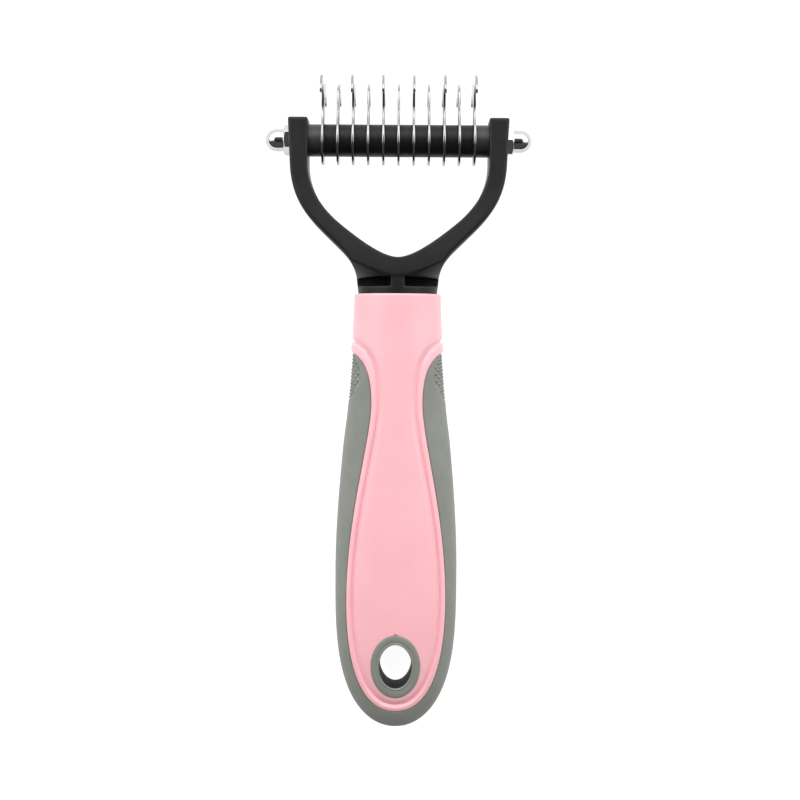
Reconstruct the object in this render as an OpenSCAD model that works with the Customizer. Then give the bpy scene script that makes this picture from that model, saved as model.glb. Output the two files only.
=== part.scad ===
// Double-sided dematting comb. A hand tool for combing mats out of a pet's coat: a row of hooked steel
// blades on an axle, held between the arms of a yoke, on an overmoulded handle.
//
// Each piece is drawn with the handle's rim at Y = 0 and the comb's middle plane at Z = 0: X across the
// head, Y towards the teeth, Z out of the front face, in millimetres. in_frame() then moves it to the
// comb's own frame, with the origin under the middle of the comb, level with the rear teeth.

/* [Handle] */
// Length of the handle, from its rim to its end
handle_len = 114.5; // [105:0.1:125]
// Distance from the rim to the widest place of the handle
belly_at = 72.2; // [65:0.1:78]
// Width of the handle at its rim
rim_w = 22.6; // [22.2:0.1:24]
// Thickness of the handle at its rim
rim_t = 20; // [19:0.1:21]
// Width of the handle at its widest place
belly_w = 32.2; // [30:0.1:35]
// Distance from the rim to the thickest place of the handle
crown_at = 45.6; // [35:0.1:55]
// Thickness of the handle at its thickest place
crown_t = 20.4; // [20.2:0.1:22]
// Thickness of the soft overmould
overmould_t = 1.6; // [1.2:0.1:2]

/* [Hanging hole] */
// Distance from the rim to the middle of the hole
hole_at = 97.3; // [95:0.1:98.5]
// Width of the hole
hole_w = 8.2; // [7:0.1:9]
// Length of the hole along the handle
hole_l = 11.4; // [10:0.1:12]
// Width of the soft ring around the hole
ring_w = 13; // [12:0.1:14]

/* [Yoke] */
// Gap between the two arms
gap_w = 47.1; // [46.5:0.1:49]
// Width over the two arms at the axle
arms_w = 57.4; // [57:0.1:59]
// Distance from the handle's rim to the axle
axle_at = 40; // [39.5:0.1:42]
// Distance from the axle to the top of the arms
arm_top = 5.6; // [5:0.1:7]
// Thickness of the arms at their top, front to back
arm_t = 10.8; // [10:0.1:12]
// Thickness of the yoke where it leaves the handle, front to back
neck_t = 15.2; // [15:0.1:16]

/* [Blades] */
// Number of blades: every other one has teeth on both sides
blade_count = 11; // [7:2:11]
// Distance from one blade to the next
pitch = 3.95; // [3.6:0.05:4]
// Thickness of a blade
blade_t = 0.6; // [0.5:0.1:0.9]
// Radius of the round eye that the axle goes through
eye_r = 6.4; // [6:0.1:6.8]
// Distance from the axle to the end of a tooth, front to back
tooth_reach = 14.6; // [13:0.1:16]
// Distance from the axle to the crest of a tooth, along the handle
crest = 15.9; // [15.6:0.1:17]

/* [Axle and nuts] */
// Diameter of the axle (M4)
axle_d = 4; // [3.8:0.1:4]
// Distance across the two flats of the axle, which stop the blades turning
axle_flats = 3.2; // [3:0.1:3.4]
// Diameter of the spacers
spacer_d = 8.4; // [8:0.1:9]
// Distance across the flats of a cap nut
nut_flats = 7; // [6.8:0.1:7]
// Height of a cap nut
nut_h = 8; // [7.6:0.1:8]
// Depth to which a cap nut is let into its arm
nut_sunk = 1.9; // [1.5:0.1:2.1]

/* [Hidden] */
DOUBLE = [for (i = [1:2:blade_count]) str("double_blade_", i)];
SINGLE = [for (i = [2:2:blade_count]) str("single_blade_", i)];
SPACER = [for (i = [1:blade_count - 1]) str("spacer_", i)];

pink = [0.98, 0.72, 0.76];
soft_grey = [0.52, 0.53, 0.50];
black = [0.09, 0.09, 0.09];
steel = [0.80, 0.80, 0.81];

slack = 0.1;            // clearance of moulded parts that slide into each other
fit = 0.01;             // radial clearance of the steel fits
end_len = handle_len - belly_at;
outline_power = 3.3;    // how square the shoulders of the handle's end are, seen from the front
outline_root = 2.05;    // how blunt its very end is
profile_power = 2.1;    // superellipse power of the end, seen from the side
section_power = 2.3;    // the same, seen from the end
belly_x = belly_w / 2;
loft_steps = 20;
loft_sides = 44;

ring_l = ring_w + 4;
lip_flare = 0.5;        // how far the hole widens at each face
lip_depth = 1.6;
lip_z = half_thickness(hole_at, 0);
ring_proud = 0.2;

grip_top = 15;          // where the soft overmould starts, from the rim
waist_at = 28.5;        // where the hard panel between the two grips is narrowest
waist_x = 6.7;
panel_x = 13.05;        // half the widest place of that panel
panel_at = 80.1;
panel_end = 109.7;

neck_x = 10.4;          // half the neck's width at the rim
neck_z = 8.8;
flange_x = 0.7;         // how much wider the neck is above its slots
flange_z = 0.2;
cone_x = 62;            // how much wider the oval cone round the neck is at the axle
cone_z = 23;
shoulder = 1.5;         // extra thickness of the neck, each side, up to its slots
plug_len = 14;
tang_w = 12;
tang_t = 8;
tang_len = 46;
slot_low = 1.95;        // the moulding slots in the neck
slot_high = 4.4;
neck_rib_w = 3.4;
web_t = 2;

half_gap = gap_w / 2;
arm_nip = 0.4;          // corners of the arms' tops
first_blade = -pitch * (blade_count - 1) / 2;
spacer_len = pitch - blade_t;
end_spacer_len = half_gap + first_blade - blade_t / 2;
outer_x = arms_w / 2;
thread_in_nut = 5.2;
axle_half = outer_x - nut_sunk + thread_in_nut;

tip_r = 0.9;            // rounded end of a tooth
tip_y = crest - 4.4;
tip_z = tooth_reach - tip_r;
crest_z = tip_z - 5.4;
saddle_y = crest - 1.8; // between the two crests of a blade
dome_r = 3;
hex_h = 3.2;
middle_y = (axle_at + crest - handle_len) / 2;

// ---- curves ----

function bezier(a, b, c, d, steps) = [for (i = [0:steps]) let (t = i / steps, s = 1 - t)
    s * s * s * a + 3 * s * s * t * b + 3 * s * t * t * c + t * t * t * d];
function mirrored(points) = [for (i = [len(points) - 1:-1:0]) [-points[i].x, points[i].y]];
function ellipse(a, b, sides) =
    [for (i = [0:sides - 1]) [a * cos(360 * i / sides), b * sin(360 * i / sides)]];
function turned(radius, from, to, steps) =
    [for (i = [0:steps]) let (a = from + (to - from) * i / steps) [radius * cos(a), radius * sin(a)]];

// ---- handle ----
// Stations along the handle are [distance from the rim, half width]. Past the belly the outline rounds off
// to the handle's end, and past the crown so does the profile.

function side_curve(steps) = bezier([0, rim_w / 2], [28, rim_w / 2 + 0.8], [48, belly_x - 0.1],
    [belly_at, belly_x], steps);
function falling(q, power, root) = pow(max(0, 1 - pow(q, power)), 1 / root);
function stations(inset) = concat(
    [for (p = side_curve(loft_steps)) [p.x, p.y - inset]],
    [for (i = [1:loft_steps - 1]) let (q = sin(90 * i / loft_steps))
        [belly_at + (end_len - inset) * q, (belly_x - inset) * falling(q, outline_power, outline_root)]]);
function half_thickness(at, inset) = at <= crown_at
    ? rim_t / 2 - inset + (crown_t - rim_t) / 2 * sin(90 * at / crown_at)
    : (crown_t / 2 - inset) * falling((at - crown_at) / (handle_len - inset - crown_at), profile_power,
        profile_power);
function rounded(a) = sign(a) * pow(abs(a), 2 / section_power);
function section(s, inset) = let (z = half_thickness(s[0], inset)) [for (j = [0:loft_sides - 1])
    let (a = 360 * j / loft_sides) [s[1] * rounded(cos(a)), -s[0], z * rounded(sin(a))]];

// The handle's outer form, or the same form set in by inset all round.
module handle_form(inset) {
    rings = stations(inset);
    last = len(rings) - 1;
    points = concat([for (s = rings) each section(s, inset)], [[0, inset - handle_len, 0]]);
    walls = [for (i = [0:last - 1], j = [0:loft_sides - 1])
        let (k = (j + 1) % loft_sides, a = i * loft_sides)
        each [[a + k, a + j, a + loft_sides + k], [a + loft_sides + k, a + j, a + loft_sides + j]]];
    rim = [[for (j = [0:loft_sides - 1]) j]];
    end = [for (j = [0:loft_sides - 1]) let (a = last * loft_sides)
        [a + (j + 1) % loft_sides, a + j, (last + 1) * loft_sides]];
    polyhedron(points, concat(rim, walls, end));
}

// Edge of the hard panel that shows between the soft grips, from the handle's side down to its end.
function panel_edge(steps) = concat(
    bezier([12.6, -grip_top], [8.6, -grip_top - 1.6], [waist_x, -grip_top - 5.8],
        [waist_x, -waist_at], steps),
    bezier([waist_x, -waist_at], [waist_x, -waist_at - 9.5], [panel_x, -panel_at + 22.5],
        [panel_x, -panel_at], steps),
    bezier([panel_x, -panel_at], [panel_x, -panel_at - 17.5], [8.1, -panel_end], [0, -panel_end], steps));

// Everything that lies outside the panel, from the grips' top to past the handle's end.
module grip_zone() {
    edge = panel_edge(14);
    far = belly_x + 4;
    translate([0, 0, -crown_t]) linear_extrude(2 * crown_t)
        polygon(concat([[far, -grip_top]], edge, mirrored(edge), [[-far, -grip_top],
            [-far, -handle_len - 5], [far, -handle_len - 5]]));
}

module oval(w, l, h) {
    translate([0, -hole_at, -h / 2]) linear_extrude(h) polygon(ellipse(w / 2, l / 2, 48));
}

// resize([0, 0, 0]) keeps the size: it makes one mesh of what it holds.
module handle_core() {
    color(pink) resize([0, 0, 0]) difference() {
        handle_form(0);
        difference() {
            grip_zone();
            handle_form(overmould_t);
        }
        oval(ring_w + slack, ring_l + slack, 2 * crown_t);
        rotate([90, 0, 0]) translate([0, 0, -1]) linear_extrude(plug_len + 1 + slack)
            polygon(ellipse(neck_x + slack, neck_z + slack, 48));
        translate([-tang_w / 2 - slack, -tang_len - slack, -tang_t / 2 - slack])
            cube([tang_w + 2 * slack, tang_len, tang_t + 2 * slack]);
    }
}

module grip_overmould() {
    color(soft_grey) resize([0, 0, 0]) intersection() {
        difference() {
            handle_form(0);
            handle_form(overmould_t);
        }
        grip_zone();
    }
}

module hang_hole_ring() {
    color(soft_grey) resize([0, 0, 0]) difference() {
        intersection() {
            oval(ring_w, ring_l, 2 * crown_t);
            handle_form(-ring_proud);
        }
        oval(hole_w, hole_l, 2 * crown_t);
        for (side = [-1, 1]) hull() {
            translate([0, 0, side * lip_z]) oval(hole_w + 2 * lip_flare, hole_l + 2 * lip_flare, 2);
            translate([0, 0, side * (lip_z - lip_depth)]) oval(hole_w, hole_l, 2);
        }
    }
}

// ---- yoke ----

// Outline of the right half, from the top of the arm down the outside and back up the inside.
function arm_outside() = concat(
    [[outer_x - arm_nip, axle_at + arm_top], [outer_x, axle_at + arm_top - arm_nip], [28.1, 32.9]],
    bezier([28.1, 32.9], [27.8, 27.9], [26.4, 23.4], [22.4, 18.8], 10),
    bezier([22.4, 18.8], [20.7, 16.8], [16.5, 12.9], [14.5, 10.9], 6),
    bezier([14.5, 10.9], [13, 9.3], [11.1, 7], [10.8, slot_high], 8),
    [[neck_x, 0]]);
function arm_inside() = concat(bezier([0, 9.4], [4, 9.4], [10.3, 14.1], [15.4, 18.3], 10),
    bezier([15.4, 18.3], [20.1, 22.3], [half_gap, 27.7], [half_gap, 33.9], 12),
    [[half_gap, axle_at + arm_top - arm_nip], [half_gap + arm_nip, axle_at + arm_top]]);

module yoke_outline() {
    half = concat(arm_inside(), arm_outside());
    polygon(concat(half, mirrored(half)));
}

// The yoke seen from the side: thick at the neck and thinner towards the top of the arms.
module yoke_side() {
    top = axle_at + arm_top;
    thick = neck_t / 2 + shoulder;
    translate([-outer_x, 0, 0]) rotate([90, 0, 90]) linear_extrude(2 * outer_x)
        polygon([[0, thick], [0, -thick], [slot_high, -thick], [slot_high + shoulder, -neck_t / 2],
            [top, -arm_t / 2], [top, arm_t / 2], [slot_high + shoulder, neck_t / 2], [slot_high, thick]]);
}

// An oval cone that rounds the neck and widens until it clears the arms.
module neck_cone() {
    hull() {
        rotate([90, 0, 0]) linear_extrude(slack) polygon(ellipse(neck_x, neck_z, 48));
        translate([0, slot_high, 0]) rotate([90, 0, 0]) linear_extrude(slack)
            polygon(ellipse(neck_x + flange_x, neck_z + flange_z, 48));
    }
    hull() {
        translate([0, slot_high, 0]) rotate([90, 0, 0]) linear_extrude(slack)
            polygon(ellipse(neck_x + flange_x, neck_z + flange_z, 48));
        translate([0, axle_at, 0]) rotate([90, 0, 0]) linear_extrude(slack)
            polygon(ellipse(neck_x + cone_x, neck_z + cone_z, 48));
    }
    translate([-outer_x, axle_at - slack, -neck_z]) cube([2 * outer_x, arm_top + 1, 2 * neck_z]);
}

module double_d(d, flats, l) {
    rotate([0, 90, 0]) intersection() {
        cylinder(d = d, h = l, center = true, $fn = 48);
        cube([flats, d + 1, l + 1], center = true);
    }
}

module nut_pocket(side) {
    translate([side * (outer_x - nut_sunk), axle_at, 0]) rotate([0, side * 90, 0])
        rotate([0, 0, side < 0 ? 0 : 30])
            cylinder(d = (nut_flats + 2 * slack) / cos(30), h = nut_sunk + 2, $fn = 6);
}

module yoke() {
    color(black) difference() {
        union() {
            intersection() {
                translate([0, 0, -neck_z - 1]) linear_extrude(2 * neck_z + 2) yoke_outline();
                yoke_side();
                neck_cone();
            }
            rotate([90, 0, 0]) linear_extrude(plug_len) polygon(ellipse(neck_x, neck_z, 48));
            translate([-tang_w / 2, -tang_len, -tang_t / 2]) cube([tang_w, tang_len, tang_t]);
        }
        for (side = [-1, 1], face = [-1, 1])
            translate([side * (neck_rib_w / 2 + 10) - 10, slot_low, face * (web_t / 2 + 10) - 10])
                cube([20, slot_high - slot_low, 20]);
        translate([0, axle_at, 0]) double_d(axle_d + 2 * fit, axle_flats + 2 * fit, arms_w + 4);
        for (side = [-1, 1]) nut_pocket(side);
    }
}

// ---- head ----

module at_axle(x) {
    translate([x, axle_at, 0]) children();
}

// The flats run its whole length, threaded ends included, so that it slides through the yoke and blades.
module axle() {
    color(steel) at_axle(0) double_d(axle_d, axle_flats, 2 * axle_half);
}

// Half of a blade, seen from the side as [front to back, along the handle] from the axle. The hook's
// cutting edge faces the handle.
function hook() = let (z = tip_z, y = tip_y, e = eye_r) concat(
    turned(e, -90, 38, 16),
    bezier([e * cos(38), e * sin(38)], [e * cos(38) - 1.3, e * sin(38) + 1.7], [3.1, 6.6], [3.1, 8], 6),
    bezier([3.1, 8], [3.2, 11.6], [9.6, 14], [z - tip_r * cos(20), y - tip_r * sin(20)], 10),
    [for (a = [-130:25:20]) [z + tip_r * cos(a), y + tip_r * sin(a)]],
    bezier([z + tip_r * cos(20), y + tip_r * sin(20)], [z + 0.2, y + 2], [z - 2.2, crest],
        [crest_z, crest], 8));
function hook_top() = bezier([crest_z, crest], [crest_z - 3, crest], [3.4, saddle_y], [0, saddle_y], 8);
function stem_only() = concat(turned(eye_r, -90, 38, 16),
    bezier([eye_r * cos(38), eye_r * sin(38)], [eye_r * cos(38) - 1.3, eye_r * sin(38) + 1.7], [3.1, 6.6],
        [3.1, 8], 6), [[1.2, saddle_y - 0.6], [0.6, saddle_y]]);

module blade(front_tooth) {
    front = front_tooth ? concat(hook(), hook_top()) : stem_only();
    back = concat(hook(), hook_top());
    color(steel) rotate([0, -90, 0]) translate([0, 0, -blade_t / 2]) linear_extrude(blade_t) difference() {
        polygon(concat(front, [for (i = [len(back) - 2:-1:1]) [-back[i].x, back[i].y]]));
        intersection() {
            circle(d = axle_d + 2 * fit, $fn = 48);
            square([axle_flats + 2 * fit, axle_d + 1], center = true);
        }
    }
}

module spacer(l) {
    color(black) difference() {
        rotate([0, 90, 0]) cylinder(d = spacer_d, h = l, center = true, $fn = 64);
        double_d(axle_d + 2 * fit, axle_flats + 2 * fit, l + 2);
    }
}

// Cap nut with its open end at the arm, pointing along +X.
module cap_nut(turn) {
    color(steel) rotate([0, 90, 0]) difference() {
        union() {
            intersection() {
                rotate([0, 0, turn]) cylinder(d = nut_flats / cos(30), h = hex_h, $fn = 6);
                cylinder(r1 = nut_flats / 2 + 3, r2 = nut_flats / 2 - 0.2, h = hex_h, $fn = 48);
            }
            cylinder(r = dome_r, h = nut_h - dome_r, $fn = 48);
            translate([0, 0, nut_h - dome_r]) sphere(r = dome_r, $fn = 48);
        }
        translate([0, 0, -1]) cylinder(d = axle_d + 2 * fit, h = thread_in_nut + 1.3, $fn = 48);
    }
}

module in_frame() {
    translate([0, -middle_y, tooth_reach]) children();
}

in_frame() {
    handle_core();
    grip_overmould();
    hang_hole_ring();
    yoke();
    axle();
    for (i = [0:len(DOUBLE) - 1])
        at_axle(first_blade + 2 * i * pitch) blade(true);
    for (i = [0:len(SINGLE) - 1])
        at_axle(first_blade + (2 * i + 1) * pitch) blade(false);
    for (i = [0:len(SPACER) - 1])
        at_axle(first_blade + (i + 0.5) * pitch) spacer(spacer_len);
    at_axle(-half_gap + end_spacer_len / 2) spacer(end_spacer_len);  // end_spacer_left
    at_axle(half_gap - end_spacer_len / 2) spacer(end_spacer_len);  // end_spacer_right
    at_axle(nut_sunk - outer_x) mirror([1, 0, 0]) cap_nut(0);  // cap_nut_left
    at_axle(outer_x - nut_sunk) cap_nut(30);  // cap_nut_right
}
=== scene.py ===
"""A double-sided dematting comb: the visual model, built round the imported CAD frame.

Lengths are in millimetres until a mesh is made. Each piece is drawn with the handle's rim at y = 0 and the
comb's middle plane at z = 0: x across the head, y towards the teeth, z out of the front face. A distance
called "at" is measured from the rim down the handle, so y = -at.
"""
import math

import bmesh
import bpy
import numpy as np
from mathutils import Matrix, Vector
from mathutils.geometry import delaunay_2d_cdt


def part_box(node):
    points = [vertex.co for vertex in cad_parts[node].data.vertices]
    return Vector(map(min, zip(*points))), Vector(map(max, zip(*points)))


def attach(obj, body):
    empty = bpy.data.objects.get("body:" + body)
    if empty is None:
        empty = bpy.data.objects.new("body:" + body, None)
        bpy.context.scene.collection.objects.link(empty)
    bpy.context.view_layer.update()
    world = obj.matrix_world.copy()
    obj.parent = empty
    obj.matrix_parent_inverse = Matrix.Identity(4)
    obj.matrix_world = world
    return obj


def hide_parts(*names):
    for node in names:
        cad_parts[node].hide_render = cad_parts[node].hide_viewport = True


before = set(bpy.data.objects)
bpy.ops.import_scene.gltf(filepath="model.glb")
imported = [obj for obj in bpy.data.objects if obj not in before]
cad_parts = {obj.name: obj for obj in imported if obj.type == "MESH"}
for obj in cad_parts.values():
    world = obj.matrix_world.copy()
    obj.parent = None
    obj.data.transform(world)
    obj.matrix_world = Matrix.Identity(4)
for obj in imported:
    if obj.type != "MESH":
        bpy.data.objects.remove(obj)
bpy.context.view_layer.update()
MM = 0.001


# ---- sizes, from the CAD nodes ----

def span(node, axis):
    """Size of a CAD node along an axis, in millimetres."""
    low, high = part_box(node)
    return (high[axis] - low[axis]) / MM


def middle(node, axis):
    """Middle of a CAD node along an axis, in metres."""
    low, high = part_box(node)
    return (high[axis] + low[axis]) / 2


RIM_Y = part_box("handle_core")[1].y
MID_Z = middle("axle", 2)
AXLE_AT = (middle("axle", 1) - RIM_Y) / MM          # from the rim up to the axle
HANDLE_LEN = (RIM_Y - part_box("grip_overmould")[0].y) / MM
BELLY_X = span("grip_overmould", 0) / 2
CROWN_Z = span("handle_core", 2) / 2
RIM_X, RIM_Z = 11.3, 10.0                           # half width and half thickness at the rim
BELLY_AT, CROWN_AT = 72.2, 45.6                     # where the handle is widest and thickest
OUTLINE_POWER, OUTLINE_ROOT = 3.3, 2.05             # how square the end's shoulders are, how blunt its tip
PROFILE_POWER, SECTION_POWER = 2.1, 2.3             # the same for the side view and for a cross-section
SKIN = 1.6                                          # thickness of the soft overmould
HOLE_AT = (RIM_Y - middle("hang_hole_ring", 1)) / MM
RING_X, RING_Y = span("hang_hole_ring", 0) / 2, span("hang_hole_ring", 1) / 2
ARM_X = span("yoke", 0) / 2
ARM_TOP = (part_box("yoke")[1].y - RIM_Y) / MM
NUT_SUNK = 1.9                                      # depth of the nuts' pockets in the arms
BLADE_T = span("double_blade_1", 0)
CREST = (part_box("double_blade_1")[1].y - RIM_Y) / MM - AXLE_AT
TOOTH_REACH = span("double_blade_1", 2) / 2
SPACER_R = span("spacer_1", 1) / 2
AXLE_R = 2.0
BORE_PLAY = 0.05                                    # gap round the axle in the spacers and nuts
THREAD_LEN = 5.4                                    # depth of the nuts' bores
POINTS_AT_ONCE = 2000                               # in the searches for the nearest piece of a line


# ---- curves ----

def bezier(a, b, c, d, steps):
    """Points along a cubic Bezier curve."""
    t = np.linspace(0, 1, steps + 1)[:, None]
    a, b, c, d = (np.array(p, float) for p in (a, b, c, d))
    return (1 - t) ** 3 * a + 3 * (1 - t) ** 2 * t * b + 3 * (1 - t) * t ** 2 * c + t ** 3 * d


def arc(centre, radius, start, end, steps):
    """Points along an arc between two angles in degrees."""
    a = np.radians(np.linspace(start, end, steps + 1))
    return np.column_stack([centre[0] + radius * np.cos(a), centre[1] + radius * np.sin(a)])


def joined(*runs):
    """One line through several runs of points, without the points where two runs meet twice."""
    points = np.vstack(runs)
    keep = np.r_[True, np.linalg.norm(np.diff(points, axis=0), axis=1) > 1e-6]
    return points[keep]


def lengths(points):
    """Distance of each point from the first, along the line through them."""
    return np.r_[0, np.cumsum(np.linalg.norm(np.diff(points, axis=0), axis=1))]


def smooth(low, high, value):
    """Rises from 0 to 1 as the value goes from low to high, with a soft start and end."""
    t = np.clip((value - low) / (high - low), 0, 1)
    return t * t * (3 - 2 * t)


# ---- meshes ----

def make(name, vertices, faces, material, replaces, weld=1e-4):
    """A smooth-shaded mesh piece. Points closer than weld are joined, and faces that vanish are dropped."""
    key = np.round(np.asarray(vertices) / weld).astype(np.int64)
    _, first, index = np.unique(key, axis=0, return_index=True, return_inverse=True)
    index = index.reshape(-1)
    kept = []
    for face in faces:
        ring = [int(index[i]) for i in face]
        ring = [v for n, v in enumerate(ring) if v != ring[n - 1]]
        if len(set(ring)) == len(ring) > 2:
            kept.append(ring)
    points = np.asarray(vertices)[first] * MM + np.array([0, RIM_Y, MID_Z])
    mesh = bpy.data.meshes.new(name)
    mesh.from_pydata(points.tolist(), [], kept)
    shell = bmesh.new()
    shell.from_mesh(mesh)
    bmesh.ops.recalc_face_normals(shell, faces=shell.faces)
    shell.to_mesh(mesh)
    shell.free()
    mesh.shade_smooth()
    mesh.materials.append(material)
    piece = bpy.data.objects.new(name, mesh)
    bpy.context.scene.collection.objects.link(piece)
    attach(piece, "root")
    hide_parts(*replaces)
    return piece


class Patches:
    """Grids of points that are put together into one mesh."""

    def __init__(self):
        self.points, self.faces, self.count = [], [], 0

    def grid(self, points):
        """Adds a grid of rows by columns."""
        rows, columns, _ = points.shape
        base = self.count + np.arange(rows * columns).reshape(rows, columns)
        a, b, c, d = base[:-1, :-1], base[:-1, 1:], base[1:, 1:], base[1:, :-1]
        quads = np.stack([a, b, c, d], axis=-1).reshape(-1, 4)
        self.points.append(points.reshape(-1, 3))
        self.faces.append(quads)
        self.count += rows * columns

    def quarters(self):
        """The points and faces with their mirror images across the x and z planes."""
        points, faces = self.whole()
        mirrors = [(1, 1), (-1, 1), (-1, -1), (1, -1)]
        return (np.vstack([points * [sx, 1, sz] for sx, sz in mirrors]),
                np.vstack([faces + n * len(points) for n in range(len(mirrors))]))

    def whole(self):
        return np.vstack(self.points), np.vstack(self.faces)


def lathe(radius_at, stations, turns, foot, side, bore, depth):
    """A round piece about the axle, with a bore of the given depth from its foot.

    It points along side times x. radius_at(angle, station) gives its outer radius, a station being a
    distance from the foot.
    """
    angle = np.linspace(0, 2 * math.pi, turns + 1)
    angle[-1] = 0

    def ring(station, radius):
        return np.stack([foot + side * station + 0 * angle, AXLE_AT + radius * np.cos(angle),
                         radius * np.sin(angle)], axis=-1)

    rows = [ring(depth, 0)] if depth < stations[-1] else [ring(depth, bore)]
    rows += [ring(depth, bore), ring(0, bore)]
    rows += [ring(station, radius_at(angle, station)) for station in stations]
    if depth >= stations[-1]:
        rows.append(rows[0])
    patches = Patches()
    patches.grid(np.array(rows))
    return patches.whole()


# ---- the handle's form ----
# Seen from the front its side is one curve down to the belly, then it rounds off to the end. Each
# cross-section is a superellipse.

SIDE = bezier((0, RIM_X), (28, RIM_X + 0.8), (48, BELLY_X - 0.1), (BELLY_AT, BELLY_X), 400)
END_LEN = HANDLE_LEN - BELLY_AT


def falling(q, power, root):
    """Falls from 1 to 0 as q goes from 0 to 1, along a superellipse."""
    return np.maximum(0, 1 - np.clip(q, 0, 1) ** power) ** (1 / root)


def half_width(at, inset=0.0):
    """Half the form's width. An inset gives the inner form, that far under the surface."""
    above = np.interp(at, SIDE[:, 0], SIDE[:, 1]) - inset
    past = (BELLY_X - inset) * falling((at - BELLY_AT) / (END_LEN - inset), OUTLINE_POWER, OUTLINE_ROOT)
    return np.where(at <= BELLY_AT, above, past)


def half_depth(at, inset=0.0):
    rising = RIM_Z - inset + (CROWN_Z - RIM_Z) * np.sin(np.pi / 2 * np.clip(at / CROWN_AT, 0, 1))
    past = (at - CROWN_AT) / (HANDLE_LEN - inset - CROWN_AT)
    return np.where(at <= CROWN_AT, rising, (CROWN_Z - inset) * falling(past, PROFILE_POWER, PROFILE_POWER))


def form_z(x, at, inset=0.0):
    """Height of the handle's surface over a place in the front view."""
    share = np.abs(x) / np.maximum(half_width(at, inset), 1e-6)
    return half_depth(at, inset) * falling(share, SECTION_POWER, SECTION_POWER)


SLOPE_REACH = 0.02


def form_normal(points):
    """Outward normals of the form, from the slope of its implicit function."""
    def value(p):
        w, d = np.maximum(half_width(-p[:, 1]), 0.05), np.maximum(half_depth(-p[:, 1]), 0.05)
        return (np.abs(p[:, 0]) / w) ** SECTION_POWER + (np.abs(p[:, 2]) / d) ** SECTION_POWER
    flat = points.reshape(-1, 3)
    slope = np.stack([value(flat + SLOPE_REACH * e) - value(flat - SLOPE_REACH * e) for e in np.eye(3)],
                     axis=-1)
    slope[np.abs(flat[:, 0]) < 1e-9, 0] = 0
    slope[np.abs(flat[:, 2]) < 1e-9, 2] = 0
    slope[flat[:, 1] < -HANDLE_LEN + 0.05] = (0, -1, 0)
    slope /= np.maximum(np.linalg.norm(slope, axis=1), 1e-12)[:, None]
    return slope.reshape(points.shape)


def on_form(x, at, inset=0.0):
    """Points of the form over places in the front view."""
    return np.stack([x, -at, form_z(x, at, inset)], axis=-1)


# The hard panel's edge in the front view as [x, at], from the handle's side down to its end.
WAIST_X, WAIST_AT = 6.7, 28.5
PANEL_X, PANEL_AT, PANEL_END = 13.05, 80.1, 109.7
GRIP_TOP = 15.0
EDGE_PLAN = joined(
    bezier((12.6, GRIP_TOP), (8.6, GRIP_TOP + 1.6), (WAIST_X, GRIP_TOP + 5.8), (WAIST_X, WAIST_AT), 600),
    bezier((WAIST_X, WAIST_AT), (WAIST_X, WAIST_AT + 9.5), (PANEL_X, PANEL_AT - 22.5), (PANEL_X, PANEL_AT),
           600),
    bezier((PANEL_X, PANEL_AT), (PANEL_X, PANEL_AT + 18.1), (8.8, PANEL_END), (0, PANEL_END), 600))


FINE_TO = 29.5                                      # the rows are close together as far down as this
FINE_ROWS, COARSE_ROWS = 0.17, 0.4                  # distances between rows


def edge_rows():
    """Points [x, at] along the panel's edge, close together beside the knurled pads."""
    inside = EDGE_PLAN[EDGE_PLAN[:, 0] < half_width(EDGE_PLAN[:, 1]) - 1e-9]
    start = inside[0].copy()
    start[0] = half_width(start[1])
    plan = np.vstack([start, inside])
    along = lengths(on_form(plan[:, 0], plan[:, 1]))
    pad_end = np.interp(FINE_TO, plan[:, 1], along)
    fine = np.arange(0, pad_end, FINE_ROWS)
    coarse = np.linspace(pad_end, along[-1], int((along[-1] - pad_end) / COARSE_ROWS))
    places = np.r_[fine, coarse]
    rows = np.stack([np.interp(places, along, plan[:, n]) for n in (0, 1)], axis=-1)
    rows[-1, 0] = 0
    return rows


EDGE = edge_rows()
HOLE_TOP_AT = HOLE_AT - RING_Y
THINNED = EDGE_PLAN[::12]
THINNED = THINNED[THINNED[:, 1] > EDGE[0, 1]]
EDGE_LINE = on_form(*np.vstack([EDGE[:1], THINNED, EDGE[-1:]]).T)


def from_edge(points):
    """Distance of each point from the panel's edge or its mirror images."""
    runs = [EDGE_LINE * s for s in ([1, 1, 1], [1, 1, -1], [-1, 1, 1])]
    start, end = np.vstack([r[:-1] for r in runs]), np.vstack([r[1:] for r in runs])
    edge = end - start
    size = np.maximum((edge ** 2).sum(1), 1e-12)
    flat, found = points.reshape(-1, 3), []
    for block in np.array_split(flat, max(1, len(flat) // POINTS_AT_ONCE)):
        gap = block[:, None] - start
        t = np.clip((gap * edge).sum(-1) / size, 0, 1)
        found.append(np.sqrt(((gap - edge * t[..., None]) ** 2).sum(-1).min(1)))
    near = np.concatenate(found).reshape(points.shape[:-1])
    return np.where(near < 0.02, 0, near)


def rounding(distance, radius):
    """How far a rounded edge of that radius drops below the surface, at a distance from the edge."""
    inward = np.clip(distance, 0, radius)
    return np.sqrt(np.maximum(0, radius ** 2 - (radius - inward) ** 2)) - radius


RIB_WIDTH, RIB_EXTRA = 1.3, 1.0                     # the rib's width, and what is added at the grip's top
RIB_EXTRA_FROM, RIB_EXTRA_TO = 12.0, 25.0           # over this stretch the extra width runs out
RIB_HEIGHT, RIB_ROUND = 0.12, 0.4
RIB_OVERRUN = 0.2                                   # how far the rib's crown reaches past its width
GROOVE_DEPTH, GROOVE_WALL = 0.62, 0.45              # the groove's depth, and the width of its steep side
GROOVE_FLOOR, GROOVE_SLOPE = 0.55, 1.35             # where its gentle side starts, and that side's width
GROOVE_BOW = 0.85                                   # how straight the gentle side is, 1 being straight
RIM_ROUND = 0.5


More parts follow.
